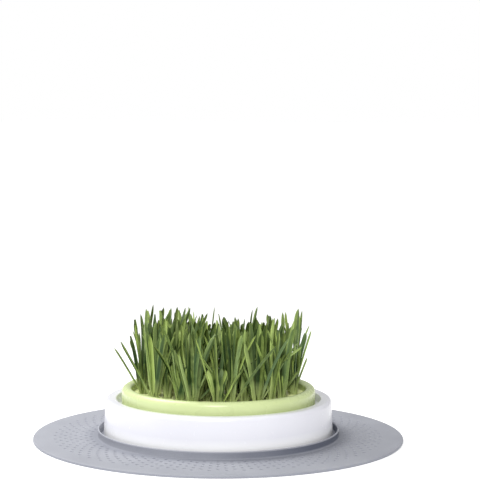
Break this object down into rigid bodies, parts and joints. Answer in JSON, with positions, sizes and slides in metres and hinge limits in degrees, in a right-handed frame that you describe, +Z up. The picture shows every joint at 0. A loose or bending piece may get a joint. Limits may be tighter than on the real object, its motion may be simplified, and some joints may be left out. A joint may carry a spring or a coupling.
{
  "type": "round wheatgrass planter with splash mat",
  "caption": "Round white planter on a grey mat, with a lime grid cover and tufts of young wheatgrass growing up through the grid.",
  "frame": {"origin": "middle of the mat's flat underside, on the surface that the planter stands on", "axes": "+Z up along the axis of the bowl, -Y towards the side that the picture shows, +X to its right"},
  "size_m": [0.37, 0.37, 0.1309],
  "materials": {
    "mat": "soft blue-grey thermoplastic rubber, matte, with small moulded dimples",
    "bowl": "glossy white moulded plastic",
    "cover": "glossy lime moulded plastic",
    "medium": "moist loose grains of growing medium",
    "grass": "living grass leaf, satin, with fine lengthwise veins"
  },
  "bodies": {
    "root": {"splash_mat": "mat", "bowl": "bowl", "cover": "cover", "growing_medium": "medium", "tuft_01": "grass", "tuft_02": "grass", "tuft_03": "grass", "tuft_04": "grass", "tuft_05": "grass", "tuft_06": "grass", "tuft_07": "grass", "tuft_08": "grass", "tuft_09": "grass", "tuft_10": "grass", "tuft_11": "grass", "tuft_12": "grass", "tuft_13": "grass", "tuft_14": "grass", "tuft_15": "grass", "tuft_16": "grass", "tuft_17": "grass", "tuft_18": "grass", "tuft_19": "grass", "tuft_20": "grass", "tuft_21": "grass", "tuft_22": "grass", "tuft_23": "grass", "tuft_24": "grass", "tuft_25": "grass", "tuft_26": "grass", "tuft_27": "grass", "tuft_28": "grass", "tuft_29": "grass", "tuft_30": "grass", "tuft_31": "grass", "tuft_32": "grass", "tuft_33": "grass", "tuft_34": "grass", "tuft_35": "grass", "tuft_36": "grass", "tuft_37": "grass", "tuft_38": "grass", "tuft_39": "grass", "tuft_40": "grass", "tuft_41": "grass", "tuft_42": "grass", "tuft_43": "grass", "tuft_44": "grass", "tuft_45": "grass", "tuft_46": "grass", "tuft_47": "grass", "tuft_48": "grass", "tuft_49": "grass", "tuft_50": "grass", "tuft_51": "grass", "tuft_52": "grass"}
  },
  "joints": []
}
